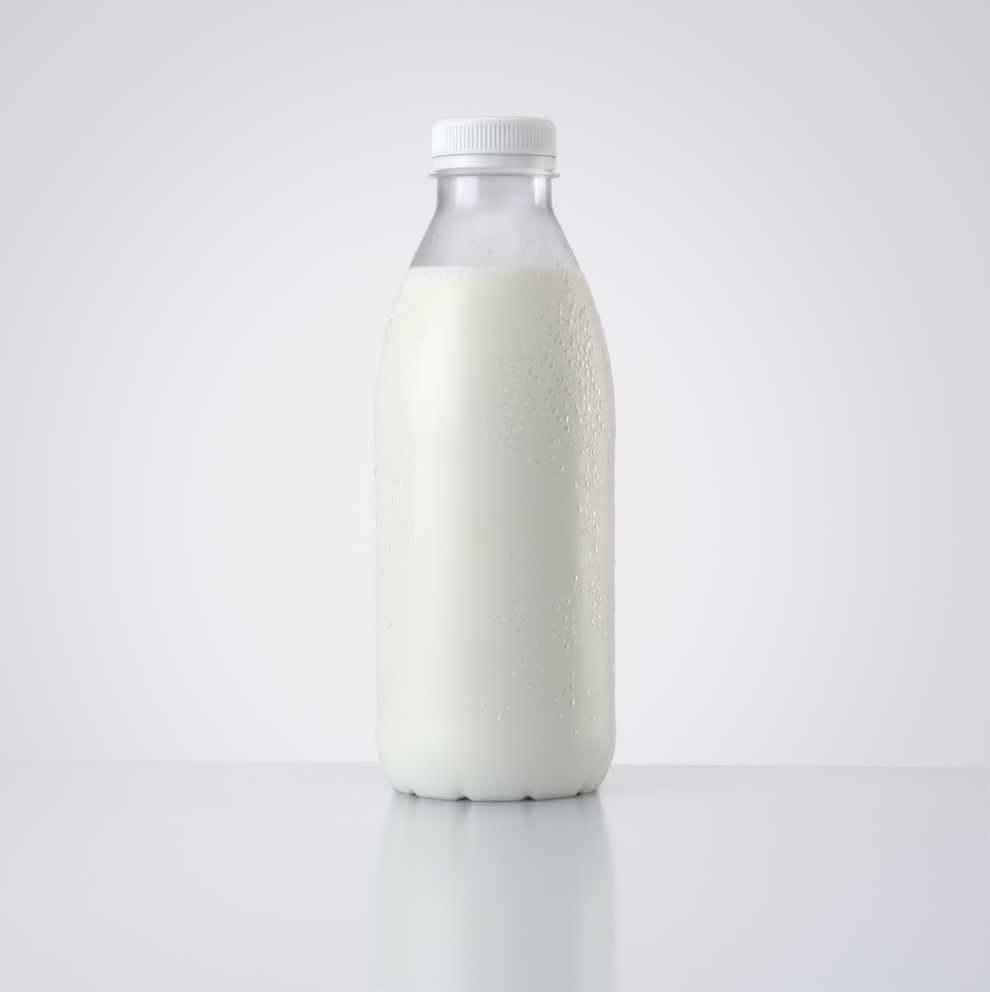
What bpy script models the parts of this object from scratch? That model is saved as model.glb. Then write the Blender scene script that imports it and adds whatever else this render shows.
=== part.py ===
"""Ayran bottle: a clear blown bottle with a scalloped base, a white ribbed screw cap with its
tamper band, and the ayran inside up to its level.

Metres, +Z up. The origin is on the bottle's axis, in the plane that its ten feet stand on.
A profile is a list of (radius, height) points.
"""

import bmesh
import bpy
from math import atan2, cos, hypot, pi, radians, sin, tan

# Overall sizes, from the 38 mm neck finish
BODY_RADIUS = 0.0396
NECK_RADIUS = 0.01875
CAP_TOP = 0.2190
DRINK_LEVEL = 0.1700
TOUCHING_GAP = 0.0003

# Walls
NECK_WALL = 0.00185
BODY_WALL = 0.0005
BASE_WALL = 0.0010
NECK_WALL_DOWN_TO = 0.1980
BODY_WALL_FROM = 0.1860

# Shoulder: a long arc rising from the body, a cone, and a hollow blend into the neck
SHOULDER_ARC = 0.1210
SHOULDER_START = 0.1195
CONE_ANGLE = radians(25.6)
NECK_BLEND = 0.0130

# Label panel, a shallow recess round the body
PANEL_DEPTH = 0.00045
PANEL_TOP = 0.1183
PANEL_BOTTOM = 0.0185
PANEL_STEP = 0.0018

# Base: heel, toe, the flat ring that touches the table, and the raised middle
HEEL_ARC = 0.0300
HEEL_CENTRE_HEIGHT = 0.0180
TOE_ARC = 0.0025
FOOT_FLAT = 0.0015
FOOT_INNER_SLOPE = 0.0014
DOME_HEIGHT = 0.0050

# Feet: ten, parted by valleys that rise up the heel and fade out
FEET = 10
VALLEY_HALF_ANGLE = radians(7.0)
VALLEY_SHARPNESS = 2
VALLEY_RISE = 0.0015
VALLEY_PUSH = 0.0005
VALLEY_TOP = 0.0085
VALLEY_INNER_END = 0.0080
VALLEY_FULL_FROM = 0.0280

# Neck finish and support ring
FINISH_RADIUS = 0.0185
RING_RADIUS = 0.0215
RING_TOP = 0.2012
RING_EDGE = 0.0007
RING_UNDERSIDE_DROP = 0.0004
RING_CHAMFER = 0.0002

# Screw cap
CAP_RADIUS = 0.0204
CAP_TOP_RADIUS = 0.0203
CAP_CORNER = 0.0027
CAP_LIP_RADIUS = 0.0207
CAP_LIP_HEIGHT = 0.0011
CAP_BOTTOM = 0.2068
CAP_PANEL = 0.0015
CAP_BORE = 0.0189
FLUTES = 86
FLUTE_DEPTH = 0.00035
FLUTE_TOP = 0.2160
FLUTE_BOTTOM = 0.2085
FLUTE_RUN_OUT = 0.0004

# Tamper band
BAND_RADIUS = 0.02015
BAND_TOP = 0.2064
BAND_BOTTOM = 0.2024
BAND_CHAMFER = 0.0003

# Facets round the axis: a multiple of the feet, and two for each flute
ROUND_STEPS = 60
FLUTED_STEPS = 2 * FLUTES

PARTS = "ayran_bottle"
CUTTERS = "cutters"


def clear_scene():
    for item in list(bpy.data.objects):
        bpy.data.objects.remove(item)


def collection(name):
    made = bpy.data.collections.new(name)
    bpy.context.scene.collection.children.link(made)
    return made


def material(name, colour, roughness, transmission=0.0):
    made = bpy.data.materials.new(name)
    made.use_nodes = True
    shader = made.node_tree.nodes["Principled BSDF"]
    shader.inputs["Base Color"].default_value = (*colour, 1.0)
    shader.inputs["Roughness"].default_value = roughness
    shader.inputs["Metallic"].default_value = 0.0
    shader.inputs["Transmission Weight"].default_value = transmission
    return made


def arc(centre, radius, start, end, steps):
    """Points on an arc of a profile. Angle 0 points away from the axis, and 90 degrees up."""
    return [
        (
            centre[0] + radius * cos(start + (end - start) * step / steps),
            centre[1] + radius * sin(start + (end - start) * step / steps),
        )
        for step in range(steps + 1)
    ]


def neck_and_shoulder():
    """The outer side from under the support ring down to the body."""
    centre = (BODY_RADIUS - SHOULDER_ARC, SHOULDER_START)
    shoulder = arc(centre, SHOULDER_ARC, CONE_ANGLE, 0.0, 5)
    cone_radius, cone_height = shoulder[0]
    meeting_height = cone_height + (cone_radius - NECK_RADIUS) / tan(CONE_ANGLE)
    blend_top = meeting_height + NECK_BLEND * tan(CONE_ANGLE / 2)
    blend_centre = (NECK_RADIUS + NECK_BLEND, blend_top)
    blend = arc(blend_centre, NECK_BLEND, pi, pi + CONE_ANGLE, 3)
    ring_root = (NECK_RADIUS, RING_TOP - RING_EDGE - RING_UNDERSIDE_DROP)
    return [ring_root, (NECK_RADIUS, NECK_WALL_DOWN_TO), *blend, *shoulder]


def label_panel():
    inner = BODY_RADIUS - PANEL_DEPTH
    return [
        (BODY_RADIUS, PANEL_TOP),
        (inner, PANEL_TOP - PANEL_STEP),
        (inner, PANEL_BOTTOM + PANEL_STEP),
        (BODY_RADIUS, PANEL_BOTTOM),
    ]


def base():
    """Heel, toe, foot and raised middle, before the valleys part the feet."""
    heel_centre = (BODY_RADIUS - HEEL_ARC, HEEL_CENTRE_HEIGHT)
    toe_offset = HEEL_ARC - TOE_ARC
    toe_sine = (HEEL_CENTRE_HEIGHT - TOE_ARC) / toe_offset
    toe_angle = atan2(toe_sine, (1 - toe_sine**2) ** 0.5)
    toe_centre = (heel_centre[0] + toe_offset * cos(toe_angle), TOE_ARC)
    heel = arc(heel_centre, HEEL_ARC, 0.0, -toe_angle, 5)
    toe = arc(toe_centre, TOE_ARC, -toe_angle, -pi / 2, 2)[1:]
    flat_end = toe_centre[0] - FOOT_FLAT
    dome_radius = flat_end - FOOT_INNER_SLOPE
    dome = [
        (dome_radius * share, DOME_HEIGHT * (1 - 0.9 * share**2))
        for share in (1.0, 0.85, 0.5, 0.0)
    ]
    return [*heel, *toe, (flat_end, 0.0), *dome]


def outer_side():
    return [*neck_and_shoulder(), *label_panel(), *base()]


def wall_at(radius, height):
    """Wall thickness: thick in the neck, thin in the body, and a little more under the middle."""
    if height > BODY_WALL_FROM:
        share = min(1.0, (height - BODY_WALL_FROM) / (NECK_WALL_DOWN_TO - BODY_WALL_FROM))
        return BODY_WALL + (NECK_WALL - BODY_WALL) * share
    if height <= DOME_HEIGHT and radius < VALLEY_FULL_FROM:
        return BASE_WALL + (BODY_WALL - BASE_WALL) * radius / VALLEY_FULL_FROM
    return BODY_WALL


def inset(profile, distance_at):
    """The profile moved inwards along its normals, by a distance that may vary along it."""
    moved = []
    for index, (radius, height) in enumerate(profile):
        before = profile[max(index - 1, 0)]
        after = profile[min(index + 1, len(profile) - 1)]
        along = (after[0] - before[0], after[1] - before[1])
        length = hypot(*along)
        distance = distance_at(radius, height)
        if radius == 0.0:
            moved.append((0.0, height + distance))
            continue
        moved.append(
            (
                radius + along[1] / length * distance,
                height - along[0] / length * distance,
            )
        )
    return moved


def inner_side():
    """The inner wall, from the neck's bore down to the middle of the base."""
    return inset(outer_side(), wall_at)


def smooth(share):
    share = min(1.0, max(0.0, share))
    return share * share * (3 - 2 * share)


def valley_depth(point):
    """How far into a valley a point of the base lies, from 0 on a foot to 1 on the valley's floor."""
    radius = hypot(point.x, point.y)
    if radius < VALLEY_INNER_END or point.z > VALLEY_TOP:
        return 0.0
    # A foot faces -Y, so the nearest valleys are half a pitch to either side of it.
    pitch = 2 * pi / FEET
    off_valley = abs(atan2(point.x, -point.y) % pitch - pitch / 2)
    if off_valley >= VALLEY_HALF_ANGLE:
        return 0.0
    across = cos(pi / 2 * off_valley / VALLEY_HALF_ANGLE) ** VALLEY_SHARPNESS
    up = smooth(1 - point.z / VALLEY_TOP)
    along = smooth((radius - VALLEY_INNER_END) / (VALLEY_FULL_FROM - VALLEY_INNER_END))
    return across * up * along


def part_the_feet(mesh):
    """Raises and draws in the base along each valley, the same way on every wall."""
    shape = bmesh.new()
    shape.from_mesh(mesh)
    depth = {vertex: valley_depth(vertex.co) for vertex in shape.verts}
    # Four-cornered faces bend here, so each is split along its deeper diagonal first.
    for face in list(shape.faces):
        corners = list(face.verts)
        if len(corners) < 4 or not any(depth[corner] for corner in corners):
            continue
        diagonals = (corners[0], corners[2]), (corners[1], corners[3])
        bmesh.utils.face_split(face, *max(diagonals, key=lambda ends: depth[ends[0]] + depth[ends[1]]))
    for vertex, deep in depth.items():
        if deep:
            shrink = 1 - VALLEY_PUSH * deep / hypot(vertex.co.x, vertex.co.y)
            vertex.co.x *= shrink
            vertex.co.y *= shrink
            vertex.co.z += VALLEY_RISE * deep
    shape.to_mesh(mesh)
    shape.free()


def turned(name, profile, steps, where, finish):
    """A solid turned round +Z from a profile that ends on the axis or closes on itself."""
    closed = profile[0][0] > 0
    count = len(profile)
    edges = [(index, index + 1) for index in range(count - 1)]
    if closed:
        edges.append((count - 1, 0))
    outline = bpy.data.meshes.new(name + "_profile")
    outline.from_pydata([(radius, 0.0, height) for radius, height in profile], edges, [])
    guide = bpy.data.objects.new(name + "_guide", outline)
    where.objects.link(guide)
    screw = guide.modifiers.new("turn", "SCREW")
    screw.axis = "Z"
    screw.angle = 2 * pi
    screw.steps = steps
    screw.render_steps = steps
    screw.use_merge_vertices = True
    screw.merge_threshold = 0.00001
    bpy.context.view_layer.update()
    evaluated = guide.evaluated_get(bpy.context.evaluated_depsgraph_get())
    mesh = bpy.data.meshes.new_from_object(evaluated)
    bpy.data.objects.remove(guide)
    mesh.name = name
    mesh.materials.clear()
    mesh.materials.append(finish)
    mesh.shade_smooth()
    mesh.set_sharp_from_angle(angle=radians(30))
    made = bpy.data.objects.new(name, mesh)
    where.objects.link(made)
    return made


def make_bottle(where, finish):
    mouth = CAP_TOP - CAP_PANEL - TOUCHING_GAP
    bore = NECK_RADIUS - NECK_WALL
    ring_bottom = RING_TOP - RING_EDGE
    neck_top = [
        (bore, mouth),
        (FINISH_RADIUS, mouth),
        (FINISH_RADIUS, RING_TOP),
        (RING_RADIUS - RING_CHAMFER, RING_TOP),
        (RING_RADIUS, RING_TOP - RING_CHAMFER),
        (RING_RADIUS, ring_bottom),
    ]
    profile = [*reversed(inner_side()), *neck_top, *outer_side()]
    bottle = turned("bottle", profile, ROUND_STEPS, where, finish)
    part_the_feet(bottle.data)
    return bottle


def make_drink(where, finish):
    """The ayran fills the bottle up to its level, a touching gap clear of the wall."""
    wall = inset(inner_side(), lambda radius, height: TOUCHING_GAP)
    below = [point for point in wall if point[1] < DRINK_LEVEL]
    first_above = wall[len(wall) - len(below) - 1]
    share = (DRINK_LEVEL - below[0][1]) / (first_above[1] - below[0][1])
    edge = below[0][0] + (first_above[0] - below[0][0]) * share
    profile = [(0.0, DRINK_LEVEL), (edge, DRINK_LEVEL), *below]
    drink = turned("ayran", profile, ROUND_STEPS, where, finish)
    part_the_feet(drink.data)
    return drink


def cut_flutes(mesh):
    """Draws every second column of the cap's side inwards, so that it is ribbed for grip."""
    pitch = 2 * pi / FLUTES
    for vertex in mesh.vertices:
        radius = hypot(vertex.co.x, vertex.co.y)
        inside = FLUTE_BOTTOM - 1e-6 < vertex.co.z < FLUTE_TOP + 1e-6
        column = round(atan2(vertex.co.y, vertex.co.x) / pitch * 2)
        if inside and radius > CAP_BORE and column % 2:
            vertex.co.x *= 1 - FLUTE_DEPTH / radius
            vertex.co.y *= 1 - FLUTE_DEPTH / radius


def make_cap(where, cutters, finish):
    corner = arc((CAP_TOP_RADIUS - CAP_CORNER, CAP_TOP - CAP_CORNER), CAP_CORNER, pi / 2, 0.0, 3)
    lip_top = CAP_BOTTOM + CAP_LIP_HEIGHT
    profile = [
        (0.0, CAP_TOP),
        *corner,
        (CAP_TOP_RADIUS, FLUTE_TOP),
        (CAP_RADIUS, FLUTE_BOTTOM),
        (CAP_RADIUS, FLUTE_BOTTOM - FLUTE_RUN_OUT),
        (CAP_LIP_RADIUS, lip_top),
        (CAP_LIP_RADIUS, CAP_BOTTOM),
        (0.0, CAP_BOTTOM),
    ]
    cap = turned("cap", profile, FLUTED_STEPS, where, finish)
    cut_flutes(cap.data)

    roof = CAP_TOP - CAP_PANEL
    floor = CAP_BOTTOM - CAP_LIP_HEIGHT
    bore = [(0.0, roof), (CAP_BORE, roof), (CAP_BORE, floor), (0.0, floor)]
    cutter = turned("cap_bore_cutter", bore, ROUND_STEPS, cutters, finish)
    cutter.display_type = "WIRE"
    cutter.hide_render = True

    hollow = cap.modifiers.new("hollow", "BOOLEAN")
    hollow.operation = "DIFFERENCE"
    hollow.solver = "EXACT"
    hollow.object = cutter
    return cap


def make_band(where, finish):
    profile = [
        (BAND_RADIUS - BAND_CHAMFER, BAND_TOP),
        (BAND_RADIUS, BAND_TOP - BAND_CHAMFER),
        (BAND_RADIUS, BAND_BOTTOM + BAND_CHAMFER),
        (BAND_RADIUS - BAND_CHAMFER, BAND_BOTTOM),
        (CAP_BORE, BAND_BOTTOM),
        (CAP_BORE, BAND_TOP),
    ]
    return turned("tamper_band", profile, ROUND_STEPS, where, finish)


def main():
    clear_scene()
    parts = collection(PARTS)
    cutters = collection(CUTTERS)
    clear_plastic = material("clear_plastic", (0.93, 0.94, 0.95), 0.12, transmission=0.9)
    white_plastic = material("white_plastic", (0.88, 0.89, 0.91), 0.35)
    ayran = material("ayran", (0.88, 0.88, 0.83), 0.45)
    make_bottle(parts, clear_plastic)
    make_drink(parts, ayran)
    make_cap(parts, cutters, white_plastic)
    make_band(parts, white_plastic)


main()
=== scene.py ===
"""The look of the ayran bottle: clear blown bottle, white ribbed cap and band, the ayran, and the
condensation on the wall, on a glossy pale table in front of a softly lit backdrop.

Metres, +Z up. A profile is a list of (radius, height) points, running down the outer side.
Angles round the bottle are 0 at the front, which faces -Y, and grow towards +X.
"""

import bpy
import numpy as np
from math import atan2, cos, hypot, pi, radians, sin, tan
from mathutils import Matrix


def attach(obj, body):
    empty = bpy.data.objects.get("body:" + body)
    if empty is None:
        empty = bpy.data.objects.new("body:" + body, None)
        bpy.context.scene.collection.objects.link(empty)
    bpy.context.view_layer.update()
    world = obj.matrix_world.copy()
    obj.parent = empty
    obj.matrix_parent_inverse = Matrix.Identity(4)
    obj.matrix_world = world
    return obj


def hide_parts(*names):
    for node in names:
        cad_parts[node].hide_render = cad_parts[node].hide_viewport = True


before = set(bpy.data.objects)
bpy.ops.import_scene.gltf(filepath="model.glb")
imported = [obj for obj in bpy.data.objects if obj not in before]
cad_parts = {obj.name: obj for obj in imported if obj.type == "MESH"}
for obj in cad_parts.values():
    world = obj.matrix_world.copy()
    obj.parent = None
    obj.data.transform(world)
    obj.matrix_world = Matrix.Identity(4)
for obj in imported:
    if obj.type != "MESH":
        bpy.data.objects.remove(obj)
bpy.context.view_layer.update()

MM = 0.001

# Bottle, in the sizes of the solids, but with softer edges to the label panel and the valleys
BODY_RADIUS = 39.6 * MM
NECK_RADIUS = 18.75 * MM
FINISH_RADIUS = 18.5 * MM
DRINK_LEVEL = 170.0 * MM
NECK_WALL = 1.85 * MM
BODY_WALL = 0.5 * MM
BASE_WALL = 1.0 * MM
NECK_WALL_DOWN_TO = 198.0 * MM
BODY_WALL_FROM = 186.0 * MM
MOUTH = 217.2 * MM

SHOULDER_ARC = 121.0 * MM
SHOULDER_START = 119.5 * MM
CONE_ANGLE = radians(25.6)
NECK_BLEND = 13.0 * MM

PANEL_DEPTH = 0.32 * MM
PANEL_TOP = 118.3 * MM
PANEL_BOTTOM = 18.5 * MM
PANEL_STEP = 9.0 * MM

HEEL_ARC = 30.0 * MM
HEEL_CENTRE_HEIGHT = 18.0 * MM
TOE_ARC = 2.5 * MM
FOOT_FLAT = 1.5 * MM
FOOT_INNER_SLOPE = 1.4 * MM
DOME_HEIGHT = 5.0 * MM
DOME_CURVE = 0.9
WALL_ABOVE_FEET = 2.0 * MM

FEET = 10
VALLEY_HALF_ANGLE = radians(6.0)
VALLEY_SHARPNESS = 2
VALLEY_RISE = 1.3 * MM
VALLEY_PUSH = 0.4 * MM
VALLEY_TOP = 8.5 * MM
VALLEY_INNER_END = 8.0 * MM
VALLEY_FULL_FROM = 28.0 * MM

RING_RADIUS = 21.5 * MM
RING_TOP = 201.2 * MM
RING_EDGE = 0.7 * MM
RING_UNDERSIDE_DROP = 0.15 * MM
RING_FILLET = 0.2 * MM

# Cap and band
CAP_TOP = 219.0 * MM
CAP_BOTTOM = 206.8 * MM
CAP_RADIUS = 20.4 * MM
CAP_TOP_RADIUS = 20.3 * MM
CAP_CORNER = 3.0 * MM
CAP_LIP_RADIUS = 20.7 * MM
CAP_LIP_HEIGHT = 1.1 * MM
CAP_LIP_STEP = 0.35 * MM
CAP_PANEL = 1.5 * MM
CAP_BORE = 18.9 * MM
CAP_TOP_MIDDLE = 4.0 * MM
FLUTES = 86
FLUTE_DEPTH = 0.38 * MM
FLUTE_TOP = 216.3 * MM
FLUTE_BOTTOM = 208.2 * MM
FLUTE_FADE = 0.7 * MM
FLUTE_NARROWNESS = 1.6
BAND_RADIUS = 20.15 * MM
BAND_TOP = 206.68 * MM
BAND_BOTTOM = 202.4 * MM
BAND_CORNER = 0.3 * MM

# Drink
INTO_WALL = 0.15 * MM
MENISCUS_RISE = 0.9 * MM
MENISCUS_WIDTH = 2.5 * MM
MENISCUS_STEEPNESS = 4
FROTH = 4.5 * MM

# Heights, in pairs, between which one look of a surface gives way to the next
# Painted light: below these heights the ayran is paler and warmer, standing in for light that the
# heel lacks
PAINTED_LIGHT_HEIGHTS = (35 * MM, 8 * MM)
FROTH_EDGE = (DRINK_LEVEL - FROTH, DRINK_LEVEL - FROTH / 3)
TOP_OF_AYRAN = (DRINK_LEVEL - 0.6 * MM, DRINK_LEVEL - 0.1 * MM)
MIST_EDGE = (168 * MM, 185 * MM)
CLEAR_NECK_EDGE = (197 * MM, 199.5 * MM)
FROSTED_RING_EDGE = (199.9 * MM, 200.3 * MM)

# Condensation
DROPS_FROM = 9.0 * MM
DROPS_TO = 186.0 * MM
DROP_SIZE_SKEW = 2.2
DROP_WOBBLE = 0.07
LARGE_DROP = 0.6 * MM

ROUND_STEPS = 240
CAP_STEPS = FLUTES * 12
ON_AXIS = 1e-7


# Profiles


def arc(centre, radius, start, end, steps):
    """Points on an arc of a profile. Angle 0 points away from the axis, and 90 degrees up."""
    return [
        (
            centre[0] + radius * cos(start + (end - start) * step / steps),
            centre[1] + radius * sin(start + (end - start) * step / steps),
        )
        for step in range(steps + 1)
    ]


def line(start, end, steps):
    """Points from start up to, but not including, end."""
    return [
        (
            start[0] + (end[0] - start[0]) * step / steps,
            start[1] + (end[1] - start[1]) * step / steps,
        )
        for step in range(steps)
    ]


def smooth(share):
    """Eases a share from 0 to 1 in and out, and holds it there beyond."""
    share = np.clip(share, 0.0, 1.0)
    return share * share * (3 - 2 * share)


def neck_and_shoulder():
    """The straight neck under the ring, a blend into the cone, and the shoulder's long arc."""
    centre = (BODY_RADIUS - SHOULDER_ARC, SHOULDER_START)
    shoulder = arc(centre, SHOULDER_ARC, CONE_ANGLE, 0.0, 60)
    cone_radius, cone_height = shoulder[0]
    meeting_height = cone_height + (cone_radius - NECK_RADIUS) / tan(CONE_ANGLE)
    blend_top = meeting_height + NECK_BLEND * tan(CONE_ANGLE / 2)
    blend_centre = (NECK_RADIUS + NECK_BLEND, blend_top)
    blend = arc(blend_centre, NECK_BLEND, pi, pi + CONE_ANGLE, 14)
    root = (NECK_RADIUS, RING_TOP - RING_EDGE - RING_UNDERSIDE_DROP)
    return [*line(root, blend[0], 8), *blend[:-1], *line(blend[-1], shoulder[0], 6), *shoulder]


def panel_edge(height, outwards):
    """A soft step into or out of the label panel, which starts at a height and runs down."""
    steps = 10
    points = []
    for step in range(steps + 1):
        share = step / steps
        depth = smooth(1 - share if outwards else share)
        points.append((BODY_RADIUS - PANEL_DEPTH * depth, height - PANEL_STEP * share))
    return points


def label_panel():
    """The straight body, very slightly narrower where a label would go."""
    top = panel_edge(PANEL_TOP, outwards=False)
    bottom = panel_edge(PANEL_BOTTOM + PANEL_STEP, outwards=True)
    return [*top[:-1], *line(top[-1], bottom[0], 40), *bottom]


def base():
    """Heel, toe, the flat that the bottle stands on, and the shallow dome inside it."""
    heel_centre = (BODY_RADIUS - HEEL_ARC, HEEL_CENTRE_HEIGHT)
    toe_offset = HEEL_ARC - TOE_ARC
    toe_sine = (HEEL_CENTRE_HEIGHT - TOE_ARC) / toe_offset
    toe_angle = atan2(toe_sine, (1 - toe_sine**2) ** 0.5)
    toe_centre = (heel_centre[0] + toe_offset * cos(toe_angle), TOE_ARC)
    heel = arc(heel_centre, HEEL_ARC, 0.0, -toe_angle, 36)
    toe = arc(toe_centre, TOE_ARC, -toe_angle, -pi / 2, 8)[1:]
    flat_end = toe_centre[0] - FOOT_FLAT
    dome_radius = flat_end - FOOT_INNER_SLOPE
    steps = 24
    dome = []
    for step in range(steps + 1):
        outwards = 1 - step / steps
        dome.append((dome_radius * outwards, DOME_HEIGHT * (1 - DOME_CURVE * outwards**2)))
    return [*heel, *toe, (flat_end, 0.0), *dome]


def outer_side():
    return [*neck_and_shoulder(), *label_panel(), *base()]


def wall_at(radius, height):
    """Thickness of the wall: heavy in the neck, thin in the body, thicker again under the dome."""
    if height > BODY_WALL_FROM:
        share = (height - BODY_WALL_FROM) / (NECK_WALL_DOWN_TO - BODY_WALL_FROM)
        return BODY_WALL + (NECK_WALL - BODY_WALL) * float(smooth(share))
    if height <= DOME_HEIGHT and radius < VALLEY_FULL_FROM:
        return BASE_WALL + (BODY_WALL - BASE_WALL) * radius / VALLEY_FULL_FROM
    return BODY_WALL


def inset(profile, distance_at):
    """The profile moved inwards along its normals, by a distance that may vary along it."""
    moved = []
    for index, (radius, height) in enumerate(profile):
        before = profile[max(index - 1, 0)]
        after = profile[min(index + 1, len(profile) - 1)]
        along = (after[0] - before[0], after[1] - before[1])
        length = hypot(*along)
        distance = distance_at(radius, height)
        if radius == 0.0:
            moved.append((0.0, height + distance))
            continue
        moved.append(
            (
                radius + along[1] / length * distance,
                height - along[0] / length * distance,
            )
        )
    return moved


def inner_side():
    return inset(outer_side(), wall_at)


# Meshes


def part_the_feet(points):
    """Raises and draws in the base along each valley, the same way on every wall."""
    radius = np.hypot(points[:, 0], points[:, 1])
    pitch = 2 * pi / FEET
    angle = np.arctan2(points[:, 0], -points[:, 1])
    off_valley = np.abs(angle % pitch - pitch / 2) / VALLEY_HALF_ANGLE
    across = np.cos(pi / 2 * np.minimum(off_valley, 1.0)) ** VALLEY_SHARPNESS
    up = smooth(1 - points[:, 2] / VALLEY_TOP)
    along = smooth((radius - VALLEY_INNER_END) / (VALLEY_FULL_FROM - VALLEY_INNER_END))
    depth = across * up * along
    shrink = 1 - VALLEY_PUSH * depth / np.maximum(radius, VALLEY_INNER_END)
    points[:, 0] *= shrink
    points[:, 1] *= shrink
    points[:, 2] += VALLEY_RISE * depth
    return points


def show(name, points, faces, finish, replaced=None):
    """A smooth-shaded piece that rides on the bottle."""
    mesh = bpy.data.meshes.new(name)
    mesh.from_pydata(points.tolist(), [], faces)
    mesh.materials.append(finish)
    mesh.shade_smooth()
    piece = bpy.data.objects.new(name, mesh)
    bpy.context.scene.collection.objects.link(piece)
    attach(piece, "root")
    if replaced:
        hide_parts(replaced)
    return piece


def turned(profile, steps, closed=False):
    """Points and faces of a profile turned round +Z. A point on the axis becomes one pole."""
    rings = []
    points = []
    turns = np.arange(steps) / steps * 2 * pi
    for radius, height in profile:
        first = len(points)
        if radius < ON_AXIS:
            points.append((0.0, 0.0, height))
            rings.append([first] * steps)
            continue
        for turn in turns:
            points.append((radius * cos(turn), radius * sin(turn), height))
        rings.append(list(range(first, first + steps)))
    if closed:
        rings.append(rings[0])
    faces = []
    for upper, lower in zip(rings, rings[1:]):
        for step in range(steps):
            after = (step + 1) % steps
            corners = [upper[step], lower[step], lower[after], upper[after]]
            faces.append(list(dict.fromkeys(corners)))
    return np.array(points), faces


# Materials

NEUTRAL = (1.0, 1.0, 1.0)
EVEN_RADIUS = (1.0, 1.0, 1.0)
WHOLE_CLOUD = (0.1, 0.9)


class Finish:
    """A Principled material, with short ways to add procedural nodes to it."""

    def __init__(self, name):
        self.material = bpy.data.materials.new(name)
        self.material.use_nodes = True
        self.nodes = self.material.node_tree.nodes
        self.links = self.material.node_tree.links
        self.shader = self.nodes["Principled BSDF"]
        self.output = self.nodes["Material Output"]
        self.place = self.nodes.new("ShaderNodeTexCoord").outputs["Object"]

    def set(self, **values):
        for name, value in values.items():
            self.shader.inputs[name.replace("_", " ")].default_value = value

    def noise(self, scale, detail=3.0, stretch=(1, 1, 1)):
        mapping = self.nodes.new("ShaderNodeMapping")
        mapping.inputs["Scale"].default_value = stretch
        texture = self.nodes.new("ShaderNodeTexNoise")
        texture.inputs["Scale"].default_value = scale
        texture.inputs["Detail"].default_value = detail
        self.links.new(self.place, mapping.inputs["Vector"])
        self.links.new(mapping.outputs["Vector"], texture.inputs["Vector"])
        return texture.outputs["Fac"]

    def between(self, source, low, high, start=0.3, end=0.7):
        """A number from low to high as the source goes from start to end."""
        span = self.nodes.new("ShaderNodeMapRange")
        span.inputs["From Min"].default_value = start
        span.inputs["From Max"].default_value = end
        span.inputs["To Min"].default_value = low
        span.inputs["To Max"].default_value = high
        self.links.new(source, span.inputs["Value"])
        return span.outputs["Result"]

    def blend(self, source, first, second, start=0.3, end=0.7):
        """A colour from first to second as the source goes from start to end."""
        ramp = self.nodes.new("ShaderNodeValToRGB")
        ramp.color_ramp.elements[0].position = start
        ramp.color_ramp.elements[1].position = end
        ramp.color_ramp.elements[0].color = (*first, 1.0)
        ramp.color_ramp.elements[1].color = (*second, 1.0)
        self.links.new(source, ramp.inputs["Fac"])
        return ramp.outputs["Color"]

    def share_along(self, axis, start, end):
        """A number from 0 to 1 as the place along an axis goes from start to end."""
        axes = self.nodes.new("ShaderNodeSeparateXYZ")
        self.links.new(self.place, axes.inputs["Vector"])
        return self.between(axes.outputs[axis], 0.0, 1.0, start, end)

    def joined(self, blend_type, first, second):
        """A mix node at full strength, between two colours or numbers."""
        mix = self.nodes.new("ShaderNodeMix")
        mix.data_type = "RGBA"
        mix.blend_type = blend_type
        mix.inputs["Factor"].default_value = 1.0
        self.links.new(first, mix.inputs["A"])
        self.links.new(second, mix.inputs["B"])
        return mix

    def mix(self, share, first, second):
        """The first where the share is 0, the second where it is 1."""
        mix = self.joined("MIX", first, second)
        self.links.new(share, mix.inputs["Factor"])
        return mix.outputs["Result"]

    def multiply(self, first, second):
        return self.joined("MULTIPLY", first, second).outputs["Result"]

    def sideways_tilt(self):
        """From 0 to 1 as a drop's surface turns from facing one way round the bottle to the other."""
        normal = self.place.node.outputs["Normal"]
        across = self.nodes.new("ShaderNodeVectorMath")
        across.operation = "CROSS_PRODUCT"
        self.links.new(self.place, across.inputs[0])
        self.links.new(normal, across.inputs[1])
        axes = self.nodes.new("ShaderNodeSeparateXYZ")
        self.links.new(across.outputs["Vector"], axes.inputs["Vector"])
        return self.between(axes.outputs["Z"], 0.0, 1.0, -BODY_RADIUS, BODY_RADIUS)

    def bump(self, source, height, strength=1.0):
        bump = self.nodes.new("ShaderNodeBump")
        bump.inputs["Distance"].default_value = height
        bump.inputs["Strength"].default_value = strength
        self.links.new(source, bump.inputs["Height"])
        self.links.new(bump.outputs["Normal"], self.shader.inputs["Normal"])

    def drive(self, name, source):
        self.links.new(source, self.shader.inputs[name])

    def let_light_through(self, tint):
        """Light for what is behind passes straight through, as through a thin clear wall."""
        path = self.nodes.new("ShaderNodeLightPath")
        either = self.nodes.new("ShaderNodeMath")
        either.operation = "MAXIMUM"
        clear = self.nodes.new("ShaderNodeBsdfTransparent")
        clear.inputs["Color"].default_value = (*tint, 1.0)
        mix = self.nodes.new("ShaderNodeMixShader")
        self.links.new(path.outputs["Is Shadow Ray"], either.inputs[0])
        self.links.new(path.outputs["Is Diffuse Ray"], either.inputs[1])
        self.links.new(either.outputs[0], mix.inputs["Fac"])
        self.links.new(self.shader.outputs[0], mix.inputs[1])
        self.links.new(clear.outputs[0], mix.inputs[2])
        self.links.new(mix.outputs[0], self.output.inputs["Surface"])


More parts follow.
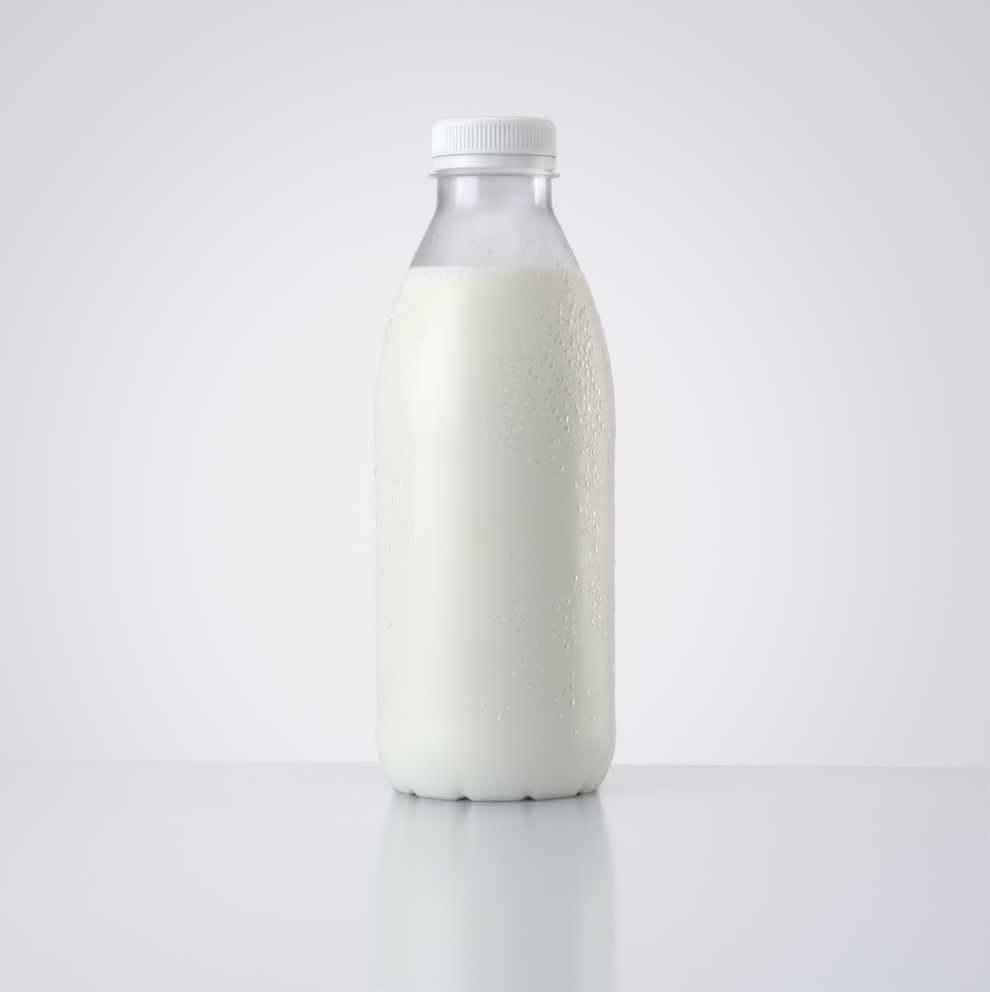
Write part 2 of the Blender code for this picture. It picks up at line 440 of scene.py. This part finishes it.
def clear_plastic():
    """Blown bottle plastic: clear, a little uneven, and misted in places by condensation."""
    finish = Finish("clear_plastic")
    finish.set(IOR=1.57, Transmission_Weight=1.0, Specular_IOR_Level=0.4)
    cloud = finish.noise(55.0)
    tint = finish.blend(cloud, (0.95, 0.943, 0.962), (0.967, 0.96, 0.975))
    finish.drive("Base Color", tint)
    misted = finish.between(cloud, 0.28, 0.385)
    clearer = finish.between(cloud, 0.19, 0.26)
    clearest = finish.between(cloud, 0.13, 0.17)
    frosted = finish.between(cloud, 0.42, 0.50)
    above_drink = finish.share_along("Z", *MIST_EDGE)
    near_ring = finish.share_along("Z", *CLEAR_NECK_EDGE)
    on_ring = finish.share_along("Z", *FROSTED_RING_EDGE)
    roughness = finish.mix(above_drink, misted, finish.mix(near_ring, clearer, clearest))
    finish.drive("Roughness", finish.mix(on_ring, roughness, frosted))
    finish.bump(finish.noise(130.0, stretch=(1, 1, 0.35)), 0.12 * MM, 0.5)
    finish.let_light_through((0.97, 0.97, 0.975))
    return finish.material


def white_plastic():
    """Moulded cap plastic: satin, and slightly see-through at its thin edges."""
    finish = Finish("white_plastic")
    finish.set(IOR=1.5)
    finish.set(Subsurface_Weight=0.8, Subsurface_Scale=3.0 * MM, Subsurface_Radius=EVEN_RADIUS)
    cloud = finish.noise(90.0)
    white = finish.blend(cloud, (0.90, 0.90, 0.895), (0.95, 0.947, 0.935), *WHOLE_CLOUD)
    finish.drive("Base Color", white)
    finish.drive("Roughness", finish.between(cloud, 0.28, 0.33))
    finish.bump(finish.noise(1500.0), 0.02 * MM, 0.4)
    return finish.material


def ayran():
    """Thin salted yoghurt: opaque, creamy white, letting light a few millimetres in."""
    finish = Finish("ayran")
    finish.set(IOR=1.35, Specular_IOR_Level=0.2)
    finish.set(Subsurface_Weight=1.0, Subsurface_Scale=3.5 * MM, Subsurface_Radius=EVEN_RADIUS)
    cloud = finish.noise(28.0, 4.0, (1, 1, 0.5))
    plain_ayran = finish.blend(cloud, (0.9025, 0.8825, 0.7625), (0.9325, 0.9125, 0.8125), *WHOLE_CLOUD)
    # Painted light: a paler, warmer ayran towards the bottom stands in for light on the heel
    painted_light_low = finish.blend(cloud, (0.9825, 0.945, 0.805), (0.9925, 0.965, 0.845), *WHOLE_CLOUD)
    milk = finish.mix(finish.share_along("Z", *PAINTED_LIGHT_HEIGHTS), plain_ayran, painted_light_low)
    froth = finish.blend(finish.noise(900.0, 2.0), (0.80, 0.79, 0.82), (0.89, 0.89, 0.89))
    near_level = finish.share_along("Z", *FROTH_EDGE)
    lit_side = finish.share_along("X", 10 * MM, -10 * MM)
    on_top = finish.share_along("Z", *TOP_OF_AYRAN)
    band = finish.mix(near_level, milk, finish.mix(lit_side, milk, froth))
    finish.drive("Base Color", finish.mix(on_top, band, milk))
    finish.drive("Roughness", finish.between(cloud, 0.45, 0.6))
    finish.bump(finish.noise(400.0), 0.03 * MM, 0.5)
    return finish.material


def water():
    """Clear drops, with painted shade at their rims and on the side that faces the main light, where
    a real drop bends the light away.
    """
    finish = Finish("water")
    finish.set(IOR=1.33, Transmission_Weight=1.0)
    finish.set(Coat_Weight=1.0, Coat_Roughness=0.03, Coat_IOR=2.1)
    facing = finish.nodes.new("ShaderNodeLayerWeight")
    facing.inputs["Blend"].default_value = 0.5
    # Painted shade: the drop's colour darkens at its rims, and on the side that faces the main light
    painted_rim_shade = finish.blend(facing.outputs["Facing"], NEUTRAL, (0.5, 0.49, 0.47), 0.4, 0.85)
    sides = finish.blend(finish.sideways_tilt(), (0.74, 0.73, 0.71), NEUTRAL, 0.25, 0.55)
    finish.drive("Base Color", finish.multiply(painted_rim_shade, sides))
    finish.drive("Roughness", finish.between(finish.noise(300.0), 0.0, 0.03))
    finish.let_light_through(NEUTRAL)
    return finish.material


# Bottle, drink and closure


def rim_and_ring():
    """The neck finish above the shoulder: mouth, plain neck under the cap, and support ring."""
    bore = NECK_RADIUS - NECK_WALL
    lip = (FINISH_RADIUS - bore) / 2
    mouth = arc((bore + lip, MOUTH - lip), lip, pi, 0.0, 12)
    corner = RING_EDGE / 8
    upper = arc((RING_RADIUS - corner, RING_TOP - corner), corner, pi / 2, 0.0, 5)
    lower = arc((RING_RADIUS - corner, RING_TOP - RING_EDGE + corner), corner, 0.0, -pi / 2, 5)
    foot = (FINISH_RADIUS + RING_FILLET, RING_TOP)
    return [*mouth, (FINISH_RADIUS, RING_TOP + RING_EDGE), foot, *upper, *lower]


def make_bottle(finish):
    """The wall, up the inside, over the mouth and down the outside."""
    profile = [*reversed(inner_side()), *rim_and_ring(), *outer_side()]
    points, faces = turned(profile, ROUND_STEPS)
    show("bottle_wall", part_the_feet(points), faces, finish, "bottle")


def meniscus(edge):
    """The ayran's surface near the wall, climbing to an edge at this radius."""
    steps = 16
    surface = []
    for step in range(steps + 1):
        inwards = MENISCUS_WIDTH * (1 - step / steps) ** 2
        climb = MENISCUS_RISE * float(np.exp(-MENISCUS_STEEPNESS * inwards / MENISCUS_WIDTH))
        surface.append((edge - inwards, DRINK_LEVEL + climb))
    return surface


def make_drink(finish):
    """The ayran reaches just into the wall, and climbs it a little at its level."""
    wall = inset(inner_side(), lambda radius, height: -INTO_WALL)
    below = [point for point in wall if point[1] < DRINK_LEVEL + MENISCUS_RISE]
    edge = below[0][0]
    surface = meniscus(edge)
    flat = [(0.0, DRINK_LEVEL), *line((edge * 0.3, DRINK_LEVEL), surface[0], 6)]
    points, faces = turned([*flat, *surface[:-1], *below], ROUND_STEPS)
    show("ayran_body", part_the_feet(points), faces, finish, "ayran")


def cut_flutes(points):
    """Rounded ribs with narrow hollows between them, fading out at their ends."""
    radius = np.hypot(points[:, 0], points[:, 1])
    angle = np.arctan2(points[:, 1], points[:, 0])
    hollow = (0.5 + 0.5 * np.cos(angle * FLUTES)) ** FLUTE_NARROWNESS
    height = points[:, 2]
    ends = smooth((FLUTE_TOP - height) / FLUTE_FADE) * smooth((height - FLUTE_BOTTOM) / FLUTE_FADE)
    outside = radius > CAP_TOP_RADIUS - CAP_CORNER / 2
    shrink = 1 - FLUTE_DEPTH * hollow * ends * outside / np.maximum(radius, CAP_BORE)
    points[:, 0] *= shrink
    points[:, 1] *= shrink
    return points


def cap_lip():
    """The small bead at the foot of the cap, rounder on top than below."""
    round_top = CAP_LIP_HEIGHT / 2
    round_foot = CAP_LIP_HEIGHT / 5
    top_centre = (CAP_LIP_RADIUS - round_top, CAP_BOTTOM + CAP_LIP_HEIGHT - round_top)
    foot_centre = (CAP_LIP_RADIUS - round_foot, CAP_BOTTOM + round_foot)
    top = arc(top_centre, round_top, radians(60), 0.0, 6)
    foot = arc(foot_centre, round_foot, 0.0, radians(-90), 6)
    return [*top, *foot]


def make_cap(finish):
    corner_centre = (CAP_TOP_RADIUS - CAP_CORNER, CAP_TOP - CAP_CORNER)
    corner = arc(corner_centre, CAP_CORNER, pi / 2, 0.0, 16)
    skirt_foot = (CAP_RADIUS, CAP_BOTTOM + CAP_LIP_HEIGHT + CAP_LIP_STEP)
    skirt = line(corner[-1], skirt_foot, 26)
    roof = CAP_TOP - CAP_PANEL
    inside = [(CAP_BORE, CAP_BOTTOM), (CAP_BORE, roof), (0.0, roof)]
    top = [(0.0, CAP_TOP), *line((CAP_TOP_MIDDLE, CAP_TOP), corner[0], 4)]
    profile = [*top, *corner[:-1], *skirt, skirt_foot, *cap_lip(), *inside]
    points, faces = turned(profile, CAP_STEPS)
    show("cap_ribbed", cut_flutes(points), faces, finish, "cap")


def make_band(finish):
    top_centre = (BAND_RADIUS - BAND_CORNER, BAND_TOP - BAND_CORNER)
    foot_centre = (BAND_RADIUS - BAND_CORNER, BAND_BOTTOM + BAND_CORNER)
    top = arc(top_centre, BAND_CORNER, pi / 2, 0.0, 6)
    foot = arc(foot_centre, BAND_CORNER, 0.0, -pi / 2, 6)
    outside = line(top[-1], foot[0], 6)[1:]
    inside = [(CAP_BORE, BAND_BOTTOM), (CAP_BORE, BAND_TOP)]
    points, faces = turned([*top, *outside, *foot, *inside], ROUND_STEPS, closed=True)
    show("band", points, faces, finish, "tamper_band")


# Condensation

rng = np.random.default_rng(38)
side = [point for point in outer_side() if point[1] > WALL_ABOVE_FEET]
WALL_RADII, WALL_HEIGHTS = np.array(side)[::-1].T


def wall_radius(height):
    """Outer radius of the bottle at a height, between the heel and the support ring."""
    return np.interp(height, WALL_HEIGHTS, WALL_RADII)


def wall_slope(height):
    """Change of the outer radius with height."""
    step = 0.5 * MM
    return (wall_radius(height + step) - wall_radius(height - step)) / (2 * step)


def scatter(count, angle, spread, height, rise, low, high):
    """Random drops (angle, height, radius) in a patch of the wall, thinning out towards its edge.

    The patch is centred on an angle and a height, in degrees and millimetres, with a usual distance
    from each. The drops' radii run from low to high, in millimetres, and most are near low.
    """
    angles = radians(angle) + radians(spread) * rng.normal(size=count)
    heights = height * MM + rise * MM * rng.normal(size=count)
    sizes = MM * low * (high / low) ** (rng.random(count) ** DROP_SIZE_SKEW)
    inside = (heights > DROPS_FROM) & (heights < DROPS_TO)
    return np.column_stack([angles, heights, sizes])[inside]


def keep_apart(drops):
    """Leaves out each drop that would touch a larger one."""
    drops = drops[np.argsort(-drops[:, 2])]
    cell = 2 * drops[0, 2]
    grid = {}
    kept = []
    for angle, height, size in drops:
        along = (angle % (2 * pi)) * BODY_RADIUS
        column, row = int(along // cell), int(height // cell)
        near = [
            other
            for across in (-1, 0, 1)
            for up in (-1, 0, 1)
            for other in grid.get((column + across, row + up), ())
        ]
        if any(hypot(along - x, height - z) < size + s for x, z, s in near):
            continue
        grid.setdefault((column, row), []).append((along, height, size))
        kept.append((angle, height, size))
    return np.array(kept)


def dome(sides, rings):
    """Points of half a ball of radius 1, from its rim up to its top."""
    turns = np.arange(sides) / sides * 2 * pi
    tilts = np.arange(rings) / rings * pi / 2
    points = [(cos(t) * cos(a), sin(t) * cos(a), sin(a)) for a in tilts for t in turns]
    points.append((0.0, 0.0, 1.0))
    return np.array(points)


def dome_faces(first, sides, rings):
    """Faces of one dome, whose points start at a number in the mesh."""
    faces = []
    for ring in range(rings - 1):
        low = first + ring * sides
        for step in range(sides):
            after = (step + 1) % sides
            faces.append((low + step, low + after, low + sides + after, low + sides + step))
    last = first + (rings - 1) * sides
    top = last + sides
    for step in range(sides):
        faces.append((last + step, last + (step + 1) % sides, top))
    return faces


def directions(angle, level):
    """Across, up along and out of the wall at each drop, and the place that it sits on."""
    slope = np.arctan(wall_slope(level))
    flat = np.zeros(len(angle))
    out = np.column_stack([np.sin(angle), -np.cos(angle), flat])
    up = np.array([0.0, 0.0, 1.0])
    across = np.column_stack([np.cos(angle), np.sin(angle), flat])
    rise = out * np.sin(slope)[:, None] + up * np.cos(slope)[:, None]
    normal = out * np.cos(slope)[:, None] - up * np.sin(slope)[:, None]
    place = out * wall_radius(level)[:, None] + up * level[:, None]
    return across, rise, normal, place


def drop_meshes(drops, sides, rings, plump, stretch):
    """Points and faces of one dome for each drop, its rim sunk a little into the wall."""
    template = dome(sides, rings)
    count = len(drops)
    angle, level, size = drops.T
    across, rise, normal, place = directions(angle, level)
    wobble = 1 + DROP_WOBBLE * rng.normal(size=(count, len(template)))
    wobble[:, -1] = 1.0
    tall = stretch * (1 + 0.3 * rng.random(count))
    height = size * plump * (0.7 + 0.9 * rng.random(count))
    sunk = 0.12 * size + size**2 / (2 * BODY_RADIUS)
    x = template[:, 0] * size[:, None] * wobble
    y = template[:, 1] * (size * tall)[:, None] * wobble
    z = template[:, 2] * (height + sunk)[:, None] - sunk[:, None]
    points = (
        place[:, None, :]
        + x[:, :, None] * across[:, None, :]
        + y[:, :, None] * rise[:, None, :]
        + z[:, :, None] * normal[:, None, :]
    )
    faces = []
    for index in range(count):
        faces += dome_faces(index * len(template), sides, rings)
    return points.reshape(-1, 3), faces


def make_drops(finish):
    patches = [
        # A dense streak down the right, and a looser one beside it
        scatter(620, 49, 4.2, 143, 11, 0.55, 1.35),
        scatter(170, 52, 3.5, 105, 18, 0.5, 1.15),
        scatter(170, 33, 7, 130, 15, 0.5, 1.25),
        # The upper middle
        scatter(130, 7, 11, 133, 11, 0.35, 0.95),
        # Small groups low on the right
        scatter(50, 26, 18, 52, 15, 0.5, 1.3),
        scatter(22, 36, 4, 58, 7, 0.6, 1.3),
        scatter(10, 20, 25, 28, 6, 0.5, 1.1),
        scatter(16, 10, 3, 60, 6, 0.6, 1.2),
        scatter(60, 57, 5, 62, 6, 0.5, 1.1),
        # Fine drops on the lit left side
        scatter(120, -45, 18, 110, 40, 0.25, 0.55),
        # Along the ayran's level, and on the shoulder above it
        scatter(90, -28, 14, 168.5, 0.9, 0.35, 0.75),
        scatter(40, 10, 35, 176, 5, 0.35, 0.8),
        scatter(14, -52, 3, 181, 2.5, 0.45, 0.9),
        scatter(16, -28, 5, 174, 2, 0.4, 0.8),
        # The back
        scatter(2400, 180, 50, 105, 42, 0.4, 1.1),
    ]
    drops = keep_apart(np.vstack(patches))
    large = drops[:, 2] > LARGE_DROP
    points, faces = drop_meshes(drops[large], 14, 5, 0.32, 1.15)
    show("drops_large", points, faces, finish)
    points, faces = drop_meshes(drops[~large], 10, 3, 0.33, 1.05)
    show("drops_small", points, faces, finish)


# Stage

TABLE_BACK = 64.0 * MM
TABLE_EDGE = 4.0 * MM
TABLE_THICK = 0.04
TABLE_YAW = radians(-4.8)
STAGE_HALF = 2.5
PAINTED_TABLE_SHADE = (-0.17, 0.19)

BACKDROP_PLACE = (0.0, 1.2, 0.03)
GLOW_SHIFT = 0.09
GLOW_WIDTH = 0.35
GLOW_HEIGHT = 0.38
GLOW_SHARE = 0.3
GLOW_STOPS = [
    (0.0, (0.875, 0.86, 0.885)),
    (0.15, (0.87, 0.855, 0.88)),
    (0.31, (0.71, 0.69, 0.735)),
    (0.50, (0.60, 0.58, 0.63)),
    (1.0, (0.38, 0.37, 0.395)),
]
AIM_HEIGHT = 0.11


def stage_piece(name, points, faces, finish):
    """A piece of the set, which is not part of the bottle."""
    mesh = bpy.data.meshes.new(name)
    mesh.from_pydata(points, [], faces)
    mesh.materials.append(finish)
    mesh.shade_smooth()
    piece = bpy.data.objects.new(name, mesh)
    bpy.context.scene.collection.objects.link(piece)
    return piece


def table_finish():
    """Glossy pale grey, with painted shade that turns it cooler and a little darker to the right."""
    finish = Finish("table_top")
    finish.set(IOR=1.5)
    cloud = finish.noise(3.0)
    # Painted shade: the right side gets a cooler, darker colour standing in for the light falling off
    # there
    left = finish.blend(cloud, (0.815, 0.86, 0.885), (0.845, 0.885, 0.91))
    right = finish.blend(cloud, (0.72, 0.755, 0.84), (0.75, 0.785, 0.865))
    finish.drive("Base Color", finish.mix(finish.share_along("X", *PAINTED_TABLE_SHADE), left, right))
    finish.drive("Roughness", finish.between(cloud, 0.10, 0.14))
    return finish.material


def make_table():
    """A wide slab with a rounded back edge a little way behind the bottle."""
    edge_centre = (TABLE_BACK - TABLE_EDGE, -TABLE_EDGE)
    outline = [
        (-STAGE_HALF, -TABLE_THICK),
        (-STAGE_HALF, 0.0),
        *arc(edge_centre, TABLE_EDGE, pi / 2, 0.0, 8),
        (TABLE_BACK, -TABLE_THICK),
    ]
    count = len(outline)
    points = [(x, y, z) for x in (-STAGE_HALF, STAGE_HALF) for y, z in outline]
    faces = [
        (index, (index + 1) % count, count + (index + 1) % count, count + index)
        for index in range(count)
    ]
    faces.append(tuple(range(count))[::-1])
    faces.append(tuple(range(count, 2 * count)))
    table = stage_piece("table", points, faces, table_finish())
    table.data.set_sharp_from_angle(angle=radians(40))
    table.rotation_euler.z = TABLE_YAW


def backdrop_finish():
    """Pale lilac-grey that glows behind the bottle and falls off softly to the sides and up."""
    finish = Finish("backdrop")
    nodes, links = finish.nodes, finish.links
    mapping = nodes.new("ShaderNodeMapping")
    mapping.inputs["Location"].default_value = (GLOW_SHIFT, 0.0, 0.0)
    mapping.inputs["Scale"].default_value = (1 / GLOW_WIDTH, 1.0, 1 / GLOW_HEIGHT)
    length = nodes.new("ShaderNodeVectorMath")
    length.operation = "LENGTH"
    share = nodes.new("ShaderNodeMath")
    share.operation = "MULTIPLY"
    share.inputs[1].default_value = GLOW_SHARE
    ramp = nodes.new("ShaderNodeValToRGB")
    ramp.color_ramp.interpolation = "B_SPLINE"
    first, *between, last = GLOW_STOPS
    elements = ramp.color_ramp.elements
    for element, (position, colour) in zip(elements, (first, last)):
        element.position = position
        element.color = (*colour, 1.0)
    for position, colour in between:
        elements.new(position).color = (*colour, 1.0)
    glow = nodes.new("ShaderNodeEmission")
    links.new(finish.place, mapping.inputs["Vector"])
    links.new(mapping.outputs["Vector"], length.inputs[0])
    links.new(length.outputs["Value"], share.inputs[0])
    links.new(share.outputs[0], ramp.inputs["Fac"])
    links.new(ramp.outputs["Color"], glow.inputs["Color"])
    links.new(glow.outputs[0], finish.output.inputs["Surface"])
    return finish.material


def make_backdrop():
    half = STAGE_HALF
    points = [(-half, 0, -half), (half, 0, -half), (half, 0, half), (-half, 0, half)]
    backdrop = stage_piece("backdrop", points, [(0, 1, 2, 3)], backdrop_finish())
    backdrop.location = BACKDROP_PLACE


def area_light(name, azimuth, elevation, distance, size, radiance, colour):
    """A soft panel that faces the middle of the bottle, from an azimuth and elevation in degrees."""
    width, height = size
    light = bpy.data.lights.new(name, "AREA")
    light.shape = "RECTANGLE"
    light.size = width
    light.size_y = height
    light.energy = radiance * pi * width * height
    light.color = colour
    panel = bpy.data.objects.new(name, light)
    bpy.context.scene.collection.objects.link(panel)
    a, e = radians(azimuth), radians(elevation)
    panel.location = (
        distance * sin(a) * cos(e),
        -distance * cos(a) * cos(e),
        AIM_HEIGHT + distance * sin(e),
    )
    panel.rotation_euler = (pi / 2 - e, 0.0, a)
    return panel


def make_lights():
    """A broad main light from the left, a narrow one on the right edge, and soft fill."""
    area_light("key", -57, 5, 1.3, (1.2, 1.1), 3.63, (0.89, 0.922, 1.0))
    area_light("upper", -54, 36, 1.3, (0.5, 0.45), 2.6, (0.93, 0.96, 1.0))
    area_light("side_strip", 94, 2, 1.1, (0.16, 0.75), 8.0, (1.0, 0.98, 0.94))
    area_light("side", 114, 4, 1.2, (0.6, 0.9), 1.6, (1.0, 0.985, 0.97))
    area_light("front", 2, 12, 1.5, (1.5, 1.2), 0.12, (1.0, 0.98, 0.94))
    area_light("top", 0, 80, 1.3, (1.2, 1.2), 2.0, (1.0, 0.99, 0.97))
    left_back = area_light("left_back", -114, 8, 1.3, (0.9, 0.9), 0.95, (0.965, 0.978, 1.0))
    left_back.visible_glossy = False
    left_back.visible_transmission = False
    world = bpy.data.worlds.new("studio")
    bpy.context.scene.world = world
    world.use_nodes = True
    background = world.node_tree.nodes["Background"]
    background.inputs["Color"].default_value = (1.0, 0.975, 0.94, 1.0)
    background.inputs["Strength"].default_value = 0.05


# Camera

IMAGE_HEIGHT = 992
FOCAL_PIXELS = 3024
CAMERA_PLACE = (0.06 * MM, -0.992, 0.139)
HORIZON_ABOVE_CENTRE = 130.5
CAMERA_ROLL = radians(0.18)


def make_camera():
    """At the photo's viewing angle: level with the upper body, looking slightly down."""
    data = bpy.data.cameras.new("camera")
    camera = bpy.data.objects.new("camera", data)
    bpy.context.scene.collection.objects.link(camera)
    bpy.context.scene.camera = camera
    data.lens = data.sensor_width * FOCAL_PIXELS / IMAGE_HEIGHT
    pitch = atan2(HORIZON_ABOVE_CENTRE, FOCAL_PIXELS)
    camera.location = CAMERA_PLACE
    camera.rotation_euler = (pi / 2 - pitch, CAMERA_ROLL, 0.0)


def make_scene():
    make_camera()
    make_lights()
    make_table()
    make_backdrop()
    clear, white, drink, wet = clear_plastic(), white_plastic(), ayran(), water()
    make_bottle(clear)
    make_drink(drink)
    make_cap(white)
    make_band(white)
    make_drops(wet)
    scene = bpy.context.scene
    scene.view_settings.view_transform = "Standard"
    scene.cycles.use_denoising = True


make_scene()
